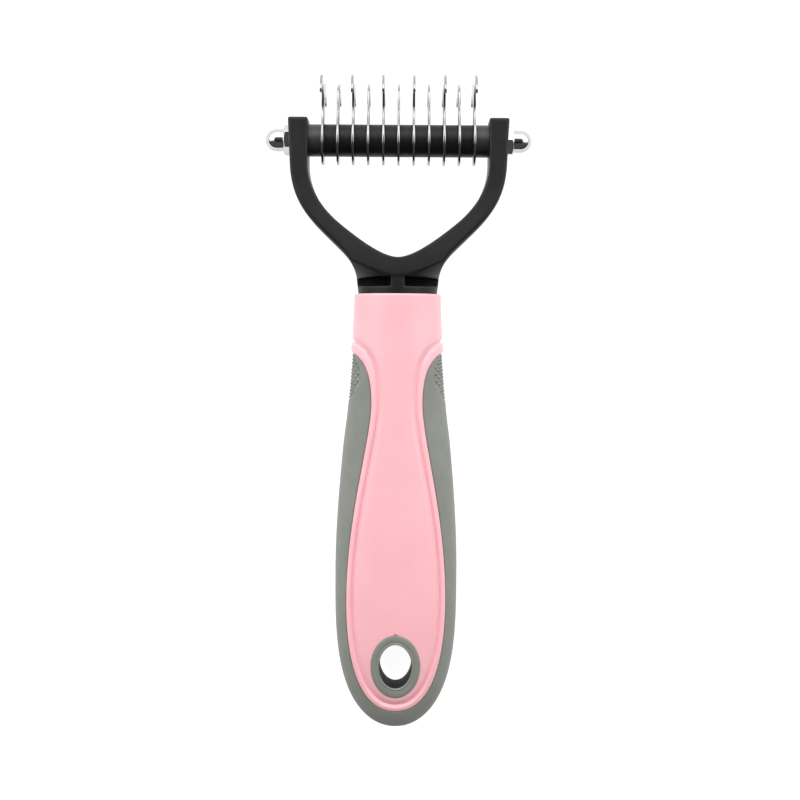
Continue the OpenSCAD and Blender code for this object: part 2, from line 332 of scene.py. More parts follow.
def panel_relief(points):
    """Height of the hard panel over the form: a rounded rib along its edge, then a groove."""
    e = from_edge(points)
    wide = RIB_WIDTH + RIB_EXTRA * (1 - smooth(RIB_EXTRA_FROM, RIB_EXTRA_TO, -points[..., 1]))
    crown = RIB_HEIGHT * np.sin(np.pi * np.clip(e / (wide + RIB_OVERRUN), 0, 1))
    slope = np.clip((e - wide - GROOVE_FLOOR) / GROOVE_SLOPE, 0, 1)
    groove = -GROOVE_DEPTH * smooth(0, GROOVE_WALL, e - wide) * (1 - slope ** GROOVE_BOW)
    return rounding(e, RIB_ROUND) + crown + groove + rounding(-points[..., 1], RIM_ROUND)


PAD_AT, PAD_LEN, PAD_WIDTH = 21.6, 6.4, 7.0         # the knurled pad's middle, half length and half width
PAD_INNER, PAD_OUTER = 0.93, 1.04                   # the pad's border, as shares of its size
KNURL_PITCH, KNURL_STRETCH = 1.8, 1.3               # pitch down the handle, and its stretch across
KNURL_HEIGHT, PAD_SUNK = 0.62, 0.52
GRIP_DROP, GRIP_ROUND = 0.1, 0.45                   # how far the grip lies under the form, and its edge
WAIST_DROP, WAIST_DROP_FROM, WAIST_DROP_TO = 0.25, 30, 40


def pad_share(points):
    """1 within the knurled pad on the handle's side, 0 outside it."""
    along = (-points[..., 1] - PAD_AT) / PAD_LEN
    across = points[..., 2] / PAD_WIDTH
    return 1 - smooth(PAD_INNER, PAD_OUTER, np.sqrt(along ** 2 + across ** 2))


def grip_relief(points):
    """Height of the soft grip over the form: a rounded edge, a sunk pad and the pad's diamonds."""
    e = from_edge(points)
    share = pad_share(points)
    u, v = -points[..., 1] / KNURL_PITCH, points[..., 2] / (KNURL_PITCH * KNURL_STRETCH)
    ridge = [np.abs(2 * (t - np.floor(t)) - 1) for t in (u + v, u - v)]
    diamonds = KNURL_HEIGHT * np.minimum(*ridge)
    waist = -WAIST_DROP * (1 - smooth(WAIST_DROP_FROM, WAIST_DROP_TO, -points[..., 1]))
    return -GRIP_DROP + waist + rounding(e, GRIP_ROUND) + share * (diamonds - PAD_SUNK)


def raised(points, relief):
    """Points of the form moved out along its normals by a relief's height."""
    return points + form_normal(points) * relief(points)[..., None]


def rib_line(start, end, steps, to_side):
    """Points on the form over the line between two [x, at] places. steps gives distances along it.

    The line is sampled closely where the form is steep, which is at its end if it runs to the side.
    """
    turn = np.linspace(0, np.pi / 2, 160)
    share = np.sin(turn) if to_side else 1 - np.cos(turn)
    plan = start + (end - start) * share[:, None]
    line = on_form(plan[:, 0], plan[:, 1])
    along = lengths(line)
    places = steps(along[-1])
    x, at = (np.interp(places, along, plan[:, n]) for n in (0, 1))
    x[0], at[0], x[-1], at[-1] = start[0], start[1], end[0], end[1]
    return on_form(x, at)


# Distances of the points from the panel's edge: on the panel over the rib and groove, then on the grip.
NEAR_PANEL = np.array([0, .06, .14, .24, .36, .5, .7, .95, 1.2, 1.3, 1.4, 1.5, 1.6, 1.7, 1.8, 1.95, 2.1,
                       2.25, 2.4, 2.5, 2.6, 2.7, 2.8, 2.9, 3.05, 3.2, 3.4, 3.6, 3.85, 4.1, 4.4])
NEAR_GRIP = np.array([0, .06, .14, .24, .36, .48])


def panel_steps(length):
    near = NEAR_PANEL * min(1, length * 0.97 / NEAR_PANEL[-1])
    return np.r_[near, near[-1] + (length - near[-1]) * np.linspace(0, 1, 27)[1:] ** 1.3]


def grip_steps(length):
    near = NEAR_GRIP * min(1, length / 1.5)
    return np.r_[near, np.linspace(near[-1], length, 52)[1:]]


def outline_beyond(x, at, inset=0.0):
    """Where the ray from the hole's middle through [x, at] leaves the form's outline."""
    low, high = 0.0, 3.0
    for _ in range(50):
        mid = (low + high) / 2
        px, pat = x * mid, HOLE_AT + (at - HOLE_AT) * mid
        within = pat < HANDLE_LEN - inset and px < half_width(pat, inset)
        low, high = (mid, high) if within else (low, mid)
    return np.array([x * low, HOLE_AT + (at - HOLE_AT) * low])


def rib_ends(x, at, inset=0.0):
    """The inner and outer ends of the row that crosses the panel's edge at [x, at].

    The inner end is on the handle's spine, or on the ring's outline beside the hole.
    """
    if at < HOLE_TOP_AT:
        spine = np.array([0.0, at])
    elif at < HOLE_AT:
        q = (at - HOLE_AT) / RING_Y
        spine = np.array([RING_X * math.sqrt(max(0, 1 - q * q)), at])
    else:
        k = 1 / math.hypot(x / RING_X, (at - HOLE_AT) / RING_Y)
        spine = np.array([x * k, HOLE_AT + (at - HOLE_AT) * k])
    if at < HOLE_AT:
        side = np.array([float(half_width(at, inset)), at])
    else:
        side = outline_beyond(x, at, inset)
    return spine, side


def inner_rows(edge_points, columns=14):
    """From each edge point straight down to the handle's inner form, then round it to its side."""
    rows = []
    for (x, at), point in zip(EDGE, edge_points):
        px, pat = point[0], -point[1]
        _, side = rib_ends(x, at, SKIN)
        if px >= half_width(pat, SKIN):
            rows.append(np.repeat([[px, -pat, 0.0]], columns, axis=0))
            continue
        share = np.sin(np.linspace(0, np.pi / 2, columns))[:, None]
        plan = np.array([px, pat]) + (side - np.array([px, pat])) * share
        line = on_form(plan[:, 0], plan[:, 1], SKIN)
        line[-1, 2] = 0
        rows.append(line)
    return np.array(rows)


def wall(outer, inner, steps=3):
    """A grid of straight lines from each outer point to its inner point."""
    return np.stack([outer + (inner - outer) * t for t in np.linspace(0, 1, steps)], axis=1)


SOCKET_X, SOCKET_Z, SOCKET_AT = 10.5, 8.9, 5.0      # the socket's half width, half thickness and depth
COLLAR_ROWS = np.r_[0, .03, .08, .15, .25, .37, .5, np.linspace(0.9, 10.8, 18),
                    np.arange(11, EDGE[0, 1] - 0.05, 0.16)]
SPINE_STEP = 0.08                                   # least distance along the spine between two lower rows


def handle_core(material):
    """The hard core: collar and panel outside, then its wall under the grip, the hole and the socket."""
    rows = []
    for at in COLLAR_ROWS:
        side = np.array([float(half_width(at)), at])
        rows.append(rib_line(side, np.array([0.0, at]), panel_steps, False))
    for n, (x, at) in enumerate(EDGE):
        spine, _ = rib_ends(x, at)
        if at < HOLE_TOP_AT:
            spine[1] = max(at, EDGE[0, 1] + SPINE_STEP * n)
        rows.append(rib_line(np.array([x, at]), spine, panel_steps, False))
    outer = raised(np.array(rows), panel_relief)
    patches = Patches()
    patches.grid(outer)

    below = outer[len(COLLAR_ROWS):, 0]
    inner = inner_rows(below)
    patches.grid(wall(below, inner[:, 0]))
    patches.grid(inner)

    above_hole = np.flatnonzero(EDGE[:, 1] < HOLE_TOP_AT)[-1]
    hole = outer[len(COLLAR_ROWS) + above_hole:, -1]
    patches.grid(wall(hole, hole * [1, 1, 0], 5))

    rim = outer[0]
    turn = np.arctan2(rim[:, 2] / RIM_Z, rim[:, 0] / RIM_X)
    mouth = np.stack([SOCKET_X * np.cos(turn), 0 * turn, SOCKET_Z * np.sin(turn)], axis=-1)
    mouth[np.abs(mouth) < 1e-9] = 0
    floor_row = mouth - [0, SOCKET_AT, 0]
    centre = np.repeat([[0.0, -SOCKET_AT, 0.0]], len(rim), axis=0)
    patches.grid(np.stack([rim, mouth, floor_row, centre]))
    return make("handle_body", *patches.quarters(), material, ["handle_core"])


def grip(material):
    """The soft overmould round the sides and end of the core."""
    rows = []
    for x, at in EDGE:
        _, side = rib_ends(x, at)
        rows.append(rib_line(np.array([x, at]), side, grip_steps, True))
    outer = raised(np.array(rows), grip_relief)
    outer[:, -1, 2] = 0
    patches = Patches()
    patches.grid(outer)
    inner = inner_rows(outer[:, 0])
    patches.grid(wall(outer[:, 0], inner[:, 0]))
    patches.grid(inner)
    return make("soft_grip", *patches.quarters(), material, ["grip_overmould"])


THROAT_X, THROAT_Y = 4.1, 5.7
PAINTED_SHADE_MARGIN, PAINTED_SHADE_DROP = 0.5, 0.3                # how far the painted shade in the throat reaches out past it, and how deep under the surface it starts
# Across the ring: [share of the way from its outside to its throat, height over the form]
RING_BAND = [(0, -.6), (0, .02), (.02, .11), (.05, .18), (.1, .23), (.2, .25), (.4, .25), (.56, .21),
             (.64, .13), (.68, .1), (.72, .13), (.76, .22), (.8, .26), (.84, .23), (.88, .12), (.91, -.05),
             (.93, -.3)]


def hole_ring(material, inner):
    """The soft ring: a rounded band that stands proud of the panel, a raised lip, then a tapered throat.
    The throat's deep faces take the second material, a near-black painted shade.
    """
    turn = np.linspace(0, np.pi / 2, 49)
    share, height = np.array(RING_BAND).T
    across, up = (np.outer(f(turn), r + (t - r) * share)
                  for f, r, t in ((np.cos, RING_X, THROAT_X), (np.sin, RING_Y, THROAT_Y)))
    across[-1] = 0
    patches = Patches()
    for way in (1, -1):
        at = HOLE_AT - way * up
        top = np.stack([across, -at, form_z(across, at) + height], axis=-1)
        throat = np.stack([THROAT_X * np.cos(turn), -(HOLE_AT - way * THROAT_Y * np.sin(turn)), 0 * turn],
                          axis=-1)
        throat[-1, 0] = 0
        lip = top[:, -1]
        bow = np.sin(np.linspace(0, np.pi / 2, 9))[None, :, None]
        down = np.linspace(0, 1, 9)[None, :, None]
        inside = lip[:, None] + (throat[:, None] - lip[:, None]) * np.concatenate([bow, bow, down], axis=-1)
        outside = wall(top[:, 0] * [1, 1, 0], top[:, 0])
        patches.grid(np.concatenate([outside, top[:, 1:], inside[:, 1:]], axis=1))
    piece = make("hole_liner", *patches.quarters(), material, ["hang_hole_ring"])
    # the second material is painted shade: the faces deep in the throat are coloured near-black
    piece.data.materials.append(inner)
    for face in piece.data.polygons:
        x, y, z = (np.array(face.center) - [0, RIM_Y, MID_Z]) / MM
        across, along = x / (THROAT_X + PAINTED_SHADE_MARGIN), (y + HOLE_AT) / (THROAT_Y + PAINTED_SHADE_MARGIN)
        in_painted_shade = math.hypot(across, along) < 1
        face.material_index = int(in_painted_shade and abs(z) < float(form_z(abs(x), -y)) - PAINTED_SHADE_DROP)
    return piece


# ---- the yoke ----
# A solid is a function that is negative inside it. The yoke's mesh is a net drawn round the zero level.

def inside_polygon(points, polygon):
    """Signed distance to a closed outline in the x-y plane, negative inside."""
    found = []
    start, end = polygon, np.roll(polygon, -1, axis=0)
    edge = end - start
    size = (edge ** 2).sum(1)
    for block in np.array_split(points, max(1, len(points) // POINTS_AT_ONCE)):
        gap = block[:, None] - start
        t = np.clip((gap * edge).sum(-1) / size, 0, 1)
        near = np.sqrt(((gap - edge * t[..., None]) ** 2).sum(-1).min(1))
        crosses = (start[:, 1] > block[:, None, 1]) != (end[:, 1] > block[:, None, 1])
        safe = np.where(edge[:, 1] == 0, 1, edge[:, 1])
        at_x = start[:, 0] + (block[:, None, 1] - start[:, 1]) / safe * edge[:, 0]
        odd = (crosses & (block[:, None, 0] < at_x)).sum(1) % 2
        found.append(np.where(odd == 1, -near, near))
    return np.concatenate(found)


def blend_max(a, b, k):
    """The larger of two values, rounded where they cross."""
    share = np.maximum(k - np.abs(a - b), 0) / k
    return np.maximum(a, b) + share ** 2 * k / 4


def thick_sheet(flat, height, half, radius):
    """An outline given a thickness, with rounded edges."""
    a, b = flat + radius, height - half + radius
    return np.hypot(np.maximum(a, 0), np.maximum(b, 0)) + np.minimum(np.maximum(a, b), 0) - radius


GAP_X = 23.55                                       # half the gap between the arms
PLUG_Y = -3                                         # foot of the yoke, inside the collar
SLOT_LOW, SLOT_HIGH = 1.95, 4.4                     # the moulding slots in the neck
SLOT_X, SLOT_Z = 1.7, 1.0                           # half the post between them, half the web behind them
SLOT_ARCH, SLOT_LEN = 0.5, 9                        # fall of a slot's arched top over its length
NECK_X, NECK_Z = 10.4, 8.8
NECK_WIDENS, FLARE_WIDENS = 0.16, 1.69              # slope of the neck's sides beside and above the slots
NECK_DEEPENS, FLARE_DEEPENS = 0.05, 0.6             # slope of its front and back, and what is added above
NECK_HALF, ARM_HALF = 7.6, 5.4                      # half thickness above the slots and at the arms' top
NECK_HALF_UP = 1.5                                  # how far above the slots the first of these holds
SKIRT, SKIRT_TOP = 1.6, 30.0                        # what is added at the slots, and where it has run out
ARM_ROUND, LOW_ROUND = 0.7, 0.9                     # outer edges at the arms' tops, and what is added below
LOW_ROUND_FROM, LOW_ROUND_TO = 22, 36               # over this stretch the addition runs out
GAP_ROUND = 0.45                                    # edges of the gap
POCKET_HALF_FLAT = 3.6                              # the nuts' pockets, from their middle to a flat
CORNER_R = 0.5                                      # corners of the arms' tops
OUTSIDE = joined(
    [(0, PLUG_Y), (NECK_X, PLUG_Y), (NECK_X, 0)],
    bezier((NECK_X + 0.4, SLOT_HIGH), (11.1, 7), (13, 9.3), (14.5, 10.9), 12),
    bezier((14.5, 10.9), (16.5, 12.9), (20.7, 16.8), (22.4, 18.8), 10),
    bezier((22.4, 18.8), (26.4, 23.4), (27.8, 27.9), (28.1, 32.9), 16),
    arc((ARM_X - CORNER_R, ARM_TOP - CORNER_R), CORNER_R, 0, 90, 5),
    [(0, ARM_TOP)])
INSIDE = joined(
    bezier((0, 9.4), (4, 9.4), (10.3, 14.1), (15.4, 18.3), 16),
    bezier((15.4, 18.3), (20.1, 22.3), (GAP_X, 27.7), (GAP_X, 33.9), 16),
    arc((GAP_X + CORNER_R, ARM_TOP - CORNER_R), CORNER_R, 180, 90, 5),
    [(GAP_X + CORNER_R, ARM_TOP + 9), (0, ARM_TOP + 9)])


def both_sides(half):
    """A closed outline from its right half."""
    return np.vstack([half, half[-2:0:-1] * [-1, 1]])


def yoke_flat(plan):
    """Signed distances of x-y points to the yoke's outline and to what lies outside its gap."""
    return inside_polygon(plan, both_sides(OUTSIDE)), -inside_polygon(plan, both_sides(INSIDE))


def yoke_value(p, flat=None):
    """The yoke as a solid: a forked sheet, cut to a flared neck, with slots and hexagonal pockets."""
    x, y, z = np.abs(p[..., 0]), p[..., 1], np.abs(p[..., 2])
    if flat is None:
        flat = yoke_flat(p[..., :2])
    foot = SLOT_HIGH + NECK_HALF_UP
    half = NECK_HALF + (ARM_HALF - NECK_HALF) * (y - foot) / (ARM_TOP - foot)
    half = half + SKIRT * (1 - smooth(SLOT_HIGH - 0.1, SKIRT_TOP, y))
    edge = ARM_ROUND + LOW_ROUND * (1 - smooth(LOW_ROUND_FROM, LOW_ROUND_TO, y))
    body = thick_sheet(flat[0], z, half, edge)
    body = blend_max(body, thick_sheet(flat[1], z, half, GAP_ROUND), 0.15)
    rise = np.maximum(y - SLOT_HIGH, 0)
    wide = NECK_X + NECK_WIDENS * np.clip(y, 0, SLOT_HIGH) + FLARE_WIDENS * rise
    deep = NECK_Z + NECK_DEEPENS * y + FLARE_DEEPENS * rise
    reach = np.sqrt((x / wide) ** 2 + (z / deep) ** 2) + 1e-9
    cone = (reach - 1) * reach / np.sqrt((x / wide ** 2) ** 2 + (z / deep ** 2) ** 2 + 1e-12)
    body = blend_max(body, cone, 0.35)
    arch = SLOT_ARCH * ((x - SLOT_X) / SLOT_LEN) ** 2
    slot = np.maximum.reduce([SLOT_X - x, SLOT_LOW - y, y - SLOT_HIGH + arch, SLOT_Z - z])
    body = blend_max(body, -slot, 0.25)
    up, out = y - AXLE_AT, p[..., 2]
    flats = [(math.cos(a), math.sin(a)) for a in np.radians([0, 60, 120])]
    on_flat = np.max([np.abs(up * c + out * s) for c, s in flats], axis=0)
    on_point = np.max([np.abs(out * c + up * s) for c, s in flats], axis=0)
    hexagon = np.where(p[..., 0] > 0, on_flat, on_point) - POCKET_HALF_FLAT
    return blend_max(body, -np.maximum(hexagon, ARM_X - NUT_SUNK - x), 0.12)


NET_STEP, NET_REACH = 0.3, 0.03                     # size of the cells, and half the run of the slopes


def net(value, low, high, step):
    """Points and quads of the yoke's zero level within a box, one point to each cell that it crosses.

    Each point starts at the middle of the crossings on its cell's edges. It is then moved onto the level.
    """
    axes = [np.arange(a, b + step, step) for a, b in zip(low, high)]
    points = np.stack(np.meshgrid(*axes, indexing="ij"), axis=-1)
    flat = yoke_flat(points[:, :, 0, :2].reshape(-1, 2))
    v = value(points, [f.reshape(points.shape[:2])[:, :, None] for f in flat])
    solid = v < 0
    cells = tuple(n - 1 for n in v.shape)
    total, count = np.zeros(cells + (3,)), np.zeros(cells)
    crossings = []
    for axis in range(3):
        near = [slice(None)] * 3
        far = [slice(None)] * 3
        near[axis], far[axis] = slice(0, -1), slice(1, None)
        cut = solid[tuple(near)] != solid[tuple(far)]
        where = np.argwhere(cut)
        a, b = v[tuple(near)][cut], v[tuple(far)][cut]
        at = points[tuple(near)][cut]
        at[:, axis] += step * a / (a - b)
        others = [n for n in range(3) if n != axis]
        ring = []
        for one, two in ((0, 0), (-1, 0), (-1, -1), (0, -1)):
            cell = where.copy()
            cell[:, others[0]] += one
            cell[:, others[1]] += two
            ring.append(cell)
            np.add.at(total, tuple(cell.T), at)
            np.add.at(count, tuple(cell.T), 1)
        crossings.append(np.stack(ring, axis=1))
    used = np.argwhere(count > 0)
    number = np.full(cells, -1)
    number[tuple(used.T)] = np.arange(len(used))
    faces = np.vstack([number[tuple(np.moveaxis(ring, -1, 0))] for ring in crossings])
    skin = total[tuple(used.T)] / count[tuple(used.T)][:, None]
    for _ in range(4):
        here = value(skin)
        slope = np.stack([value(skin + NET_REACH * e) - value(skin - NET_REACH * e) for e in np.eye(3)],
                         axis=-1) / (2 * NET_REACH)
        push = here[:, None] * slope / np.maximum((slope ** 2).sum(1), 0.3)[:, None]
        skin = skin - np.clip(push, -step / 2, step / 2)
    return skin, faces


def yoke(material):
    edge = 0.5
    low = (-ARM_X - edge, PLUG_Y - edge, -NECK_Z - 1)
    high = (ARM_X + edge, ARM_TOP + edge, NECK_Z + 1)
    return make("yoke_fork", *net(yoke_value, low, high, NET_STEP), material, ["yoke"])


# ---- the head ----

TIP_R = 0.9
TIP_DROP = 4.4                                      # from the crest down to the middle of the rounded tip
CREST_IN = 5.4                                      # from that middle in to the crest
SADDLE = 1.8                                        # depth of the dip between the two crests
EYE_R = 6.4
SHOULDER = 38                                       # degrees round the eye at which the stem starts
STEM_TOP = (3.1, 8)                                 # where the stem ends and the hook starts
EDGE_ROUND, GRIND = 0.07, 0.85                      # rounding of every edge, and width of the ground bevel
KEEN_HALF = 0.12                                    # half the thickness of a ground edge, with its rounding
GROUND_FROM, GROUND_TO = (3.4, 5.0), (11.3, 12.7)   # the grinding fades in and out over these depths
GROUND_UP = (6.4, 8.2)                              # and fades in over this height
BORE_R, BORE_HALF_FLAT = 2.01, 1.61                 # the hole for the flatted axle
WITHOUT_HOLES = 5                                   # the triangulation's output that leaves holes out


def eye_and_stem():
    """Half a blade's foot as [front to back, along the handle] from the axle."""
    turn = math.radians(SHOULDER)
    shoulder = EYE_R * np.array([math.cos(turn), math.sin(turn)])
    return [arc((0, 0), EYE_R, -90, SHOULDER, 30),
            bezier(shoulder, shoulder + (-1.3, 1.7), (3.1, 6.6), STEM_TOP, 10)]


def hook_outline():
    """Half a blade with a tooth: eye, stem, hook and crest."""
    tip = np.array([TOOTH_REACH - TIP_R, CREST - TIP_DROP])
    top = tip[0] - CREST_IN
    under, last = (tip + TIP_R * np.array([math.cos(a), math.sin(a)]) for a in np.radians([-160, 20]))
    return joined(
        *eye_and_stem(),
        bezier(STEM_TOP, (3.2, 11.6), (9.6, 14), under, 26),
        arc(tip, TIP_R, -160, 20, 14),
        bezier(last, (tip[0] + 0.2, tip[1] + 2), (tip[0] - 2.2, CREST), (top, CREST), 16),
        bezier((top, CREST), (top - 3, CREST), (3.4, CREST - SADDLE), (0, CREST - SADDLE), 14))


def stem_outline():
    """Half a blade without a tooth."""
    return joined(
        *eye_and_stem(),
        bezier(STEM_TOP, (3, 10.5), (1.6, CREST - SADDLE - 0.4), (0, CREST - SADDLE), 14))


def blade(name, node, front_tooth, material):
    """A plate with rounded edges, and a wide bevel ground along the inside of each hook."""
    front = hook_outline() if front_tooth else stem_outline()
    rear = hook_outline()[-2:0:-1] * [-1, 1]
    line = np.vstack([front, rear])
    ahead, behind = np.roll(line, -1, axis=0), np.roll(line, 1, axis=0)
    way = ahead - behind
    way /= np.linalg.norm(way, axis=1)[:, None]
    inward = np.stack([-way[:, 1], way[:, 0]], axis=-1)
    depth, height = np.abs(line[:, 0]), line[:, 1]
    under_hook = (inward[:, 1] > 0) & (front_tooth | (line[:, 0] < 0))
    ground = smooth(*GROUND_FROM, depth) * (1 - smooth(*GROUND_TO, depth)) * smooth(*GROUND_UP, height)
    ground = np.where(under_hook, ground, 0)
    bevel = EDGE_ROUND + GRIND * ground
    edge_half = BLADE_T / 2 - EDGE_ROUND - (BLADE_T / 2 - KEEN_HALF) * ground
    inner = line + inward * bevel[:, None]
    middle_x = middle(node, 0) / MM
    hole = double_d(BORE_R, BORE_HALF_FLAT)
    rims = [list(range(len(inner))), list(range(len(inner) + len(hole) - 1, len(inner) - 1, -1))]
    flat, _, triangles, *_ = delaunay_2d_cdt(
        [Vector(p) for p in np.vstack([inner, hole])], [], rims, WITHOUT_HOLES, 1e-7)
    flat = np.array([tuple(p) for p in flat])
    points, faces, base = [], [], 0

    def placed(plan, x):
        return np.column_stack([middle_x + x + 0 * plan[:, 0], AXLE_AT + plan[:, 1], plan[:, 0]])

    for side in (-1, 1):
        points.append(placed(flat, side * BLADE_T / 2))
        faces += [[base + i for i in t] for t in triangles]
        base += len(flat)
    around = [placed(inner, -BLADE_T / 2), placed(line, -edge_half), placed(line, edge_half),
              placed(inner, BLADE_T / 2)]
    bore = [placed(hole, -BLADE_T / 2), placed(hole, BLADE_T / 2)]
    for rings in (around, bore):
        size = len(rings[0])
        for n, ring in enumerate(rings):
            points.append(ring)
            if n:
                before = base - size
                faces += [[before + i, before + (i + 1) % size, base + (i + 1) % size, base + i]
                          for i in range(size)]
            base += size
    return make(name, np.vstack(points), faces, material, [node], weld=1e-5)


def double_d(radius, half_flat):
    """A circle with two flats, front and back."""
    turn = math.degrees(math.acos(half_flat / radius))
    return joined(
        arc((0, 0), radius, turn, 180 - turn, 14),
        arc((0, 0), radius, 180 + turn, 360 - turn, 14))


SPACER_ROUND = np.array([0, .02, .05, .09, .13, .16])  # places along the rounded end of a spacer


def spacer(name, node, material):
    """A bored cylinder with rounded ends."""
    length = span(node, 0)

    def radius_at(angle, station):
        return SPACER_R + rounding(np.minimum(station, length - station), SPACER_ROUND[-1])

    stations = np.r_[SPACER_ROUND, np.linspace(0.4, length - 0.4, 4), length - SPACER_ROUND[::-1]]
    skin = lathe(radius_at, stations, 96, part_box(node)[0].x / MM, 1, AXLE_R + BORE_PLAY, length)
    return make(name, *skin, material, [node])


NUT_HALF_FLAT, NUT_HEX_H, NUT_DOME_R = 3.5, 3.2, 2.95
NUT_CORNER_CUT, NUT_FACE_CUT = 0.05, 0.15           # cut off each corner, and off the flats at the top face
NUT_CHAMFER = math.radians(32)


def cap_nut(name, node, turn, material):
    """A hexagon with chamfered corners, a short neck and a dome."""
    low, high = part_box(node)
    side = 1 if high.x > 0 else -1
    foot = (low.x if side > 0 else high.x) / MM
    height = span(node, 0)

    def radius_at(angle, station):
        within = (angle - math.radians(turn) + np.pi / 6) % (np.pi / 3) - np.pi / 6
        corner = NUT_HALF_FLAT / math.cos(np.pi / 6) - NUT_CORNER_CUT
        flat = np.minimum(NUT_HALF_FLAT / np.cos(within), corner)
        bevel = NUT_HALF_FLAT - NUT_FACE_CUT + (NUT_HEX_H - station) / math.tan(NUT_CHAMFER)
        hexagon = np.minimum(flat, np.maximum(bevel, 0))
        past = np.clip(station - (height - NUT_DOME_R), 0, NUT_DOME_R)
        dome = np.sqrt(np.maximum(NUT_DOME_R ** 2 - past ** 2, 0))
        return np.where(station <= NUT_HEX_H, hexagon, dome)

    stations = np.r_[0, np.linspace(0.3, NUT_HEX_H, 46), NUT_HEX_H + 0.001,
                     np.linspace(NUT_HEX_H + 0.1, height - NUT_DOME_R, 6),
                     height - NUT_DOME_R * (1 - np.sin(np.linspace(0.04, np.pi / 2, 30)))]
    skin = lathe(radius_at, stations, 240, foot, side, AXLE_R + BORE_PLAY, THREAD_LEN)
    return make(name, *skin, material, [node], weld=2e-4)


# ---- materials ----

MAP_SOCKETS = ("From Min", "From Max", "To Min", "To Max")
NOISE_RANGE = (0.3, 0.7)                            # most of a noise's values lie between these


class Finish:
    """A node material with grain, colour variation and roughness variation."""

    def __init__(self, name, **sockets):
        self.material = bpy.data.materials.new(name)
        self.material.use_nodes = True
        self.nodes, self.links = self.material.node_tree.nodes, self.material.node_tree.links
        self.shader = self.nodes["Principled BSDF"]
        self.place = self.nodes.new("ShaderNodeTexCoord").outputs["Object"]
        self.normal = None
        for socket, value in sockets.items():
            self.shader.inputs[socket.replace("_", " ")].default_value = value

    def noise(self, size, detail=2.0, stretch=(1, 1, 1)):
        """Noise whose features are about size millimetres across, longer along an axis by its stretch."""
        mapping = self.nodes.new("ShaderNodeMapping")
        mapping.inputs["Scale"].default_value = [1 / (size * MM * s) for s in stretch]
        self.links.new(self.place, mapping.inputs["Vector"])
        noise = self.nodes.new("ShaderNodeTexNoise")
        noise.inputs["Scale"].default_value = 1.0
        noise.inputs["Detail"].default_value = detail
        self.links.new(mapping.outputs["Vector"], noise.inputs["Vector"])
        return noise.outputs["Fac"]

    def spread(self, value, low, high, socket=None):
        """A noise spread from low to high, and put into a socket of the shader if one is named."""
        mapped = self.nodes.new("ShaderNodeMapRange")
        for name, number in zip(MAP_SOCKETS, (*NOISE_RANGE, low, high)):
            mapped.inputs[name].default_value = number
        self.links.new(value, mapped.inputs["Value"])
        if socket:
            self.links.new(mapped.outputs["Result"], self.shader.inputs[socket])
        return mapped.outputs["Result"]

    def colour(self, value, low, high):
        """Base colour that runs from low to high with the value."""
        mix = self.nodes.new("ShaderNodeMix")
        mix.data_type = "RGBA"
        mix.inputs["A"].default_value = (*low, 1)
        mix.inputs["B"].default_value = (*high, 1)
        self.links.new(self.spread(value, 0, 1), mix.inputs["Factor"])
        self.links.new(mix.outputs["Result"], self.shader.inputs["Base Color"])

    def bump(self, value, height):
        """Adds relief of the given height in millimetres."""
        bump = self.nodes.new("ShaderNodeBump")
        bump.inputs["Strength"].default_value = 1.0
        bump.inputs["Distance"].default_value = height * MM
        self.links.new(value, bump.inputs["Height"])
        if self.normal:
            self.links.new(self.normal, bump.inputs["Normal"])
        self.normal = bump.outputs["Normal"]
        self.links.new(self.normal, self.shader.inputs["Normal"])


def pink_plastic():
    f = Finish("pink_plastic", IOR=1.49)
    f.colour(f.noise(9, 3), (0.930, 0.470, 0.518), (0.960, 0.500, 0.548))
    f.spread(f.noise(0.7, 4), 0.30, 0.42, "Roughness")
    f.bump(f.noise(0.22, 3), 0.006)
    f.bump(f.noise(6), 0.02)
    return f.material


def grey_rubber():
    f = Finish("grey_rubber", IOR=1.47)
    f.colour(f.noise(5, 4), (0.205, 0.214, 0.191), (0.231, 0.240, 0.216))
    f.spread(f.noise(0.5, 4), 0.52, 0.68, "Roughness")
    f.bump(f.noise(0.16, 4), 0.014)
    return f.material


# Near-black painted shade, put on the deep faces of the hang hole's throat where shade falls.
def throat_painted_shade():
    f = Finish("throat_painted_shade", IOR=1.15)
    f.colour(f.noise(3, 4), (0.006, 0.0062, 0.006), (0.010, 0.0102, 0.010))
    f.spread(f.noise(0.5, 4), 0.55, 0.7, "Roughness")
    f.bump(f.noise(0.16, 4), 0.014)
    return f.material


def black_plastic():
    f = Finish("black_plastic", IOR=1.34)
    f.colour(f.noise(4, 4), (0.0090, 0.0092, 0.0096), (0.0125, 0.0127, 0.0132))
    f.spread(f.noise(0.6, 4), 0.34, 0.48, "Roughness")
    f.bump(f.noise(0.2, 4), 0.01)
    return f.material


def blade_steel():
    f = Finish("blade_steel", Metallic=1.0)
    lines = f.noise(0.12, 3, (1, 60, 1))
    f.colour(f.noise(3, 3), (0.33, 0.333, 0.34), (0.40, 0.402, 0.405))
    f.spread(lines, 0.13, 0.24, "Roughness")
    f.bump(lines, 0.001)
    return f.material


def chrome():
    f = Finish("chrome", Metallic=1.0)
    f.colour(f.noise(2, 3), (0.56, 0.565, 0.57), (0.62, 0.622, 0.625))
    f.spread(f.noise(0.4, 4), 0.04, 0.09, "Roughness")
    f.bump(f.noise(1.2, 2), 0.004)
    return f.material


def axle_steel():
    f = Finish("axle_steel", Metallic=1.0)
    lines = f.noise(0.15, 3, (1, 30, 30))
    f.colour(f.noise(2, 3), (0.50, 0.505, 0.51), (0.60, 0.605, 0.61))
    f.spread(lines, 0.22, 0.4, "Roughness")
    f.bump(lines, 0.004)
    return f.material


# ---- the comb ----

PINK, GREY, BLACK = pink_plastic(), grey_rubber(), black_plastic()
STEEL, CHROME, ROD = blade_steel(), chrome(), axle_steel()

handle_core(PINK)
grip(GREY)
# the ring's deep throat faces get the near-black painted shade
hole_ring(GREY, throat_painted_shade())
yoke(BLACK)

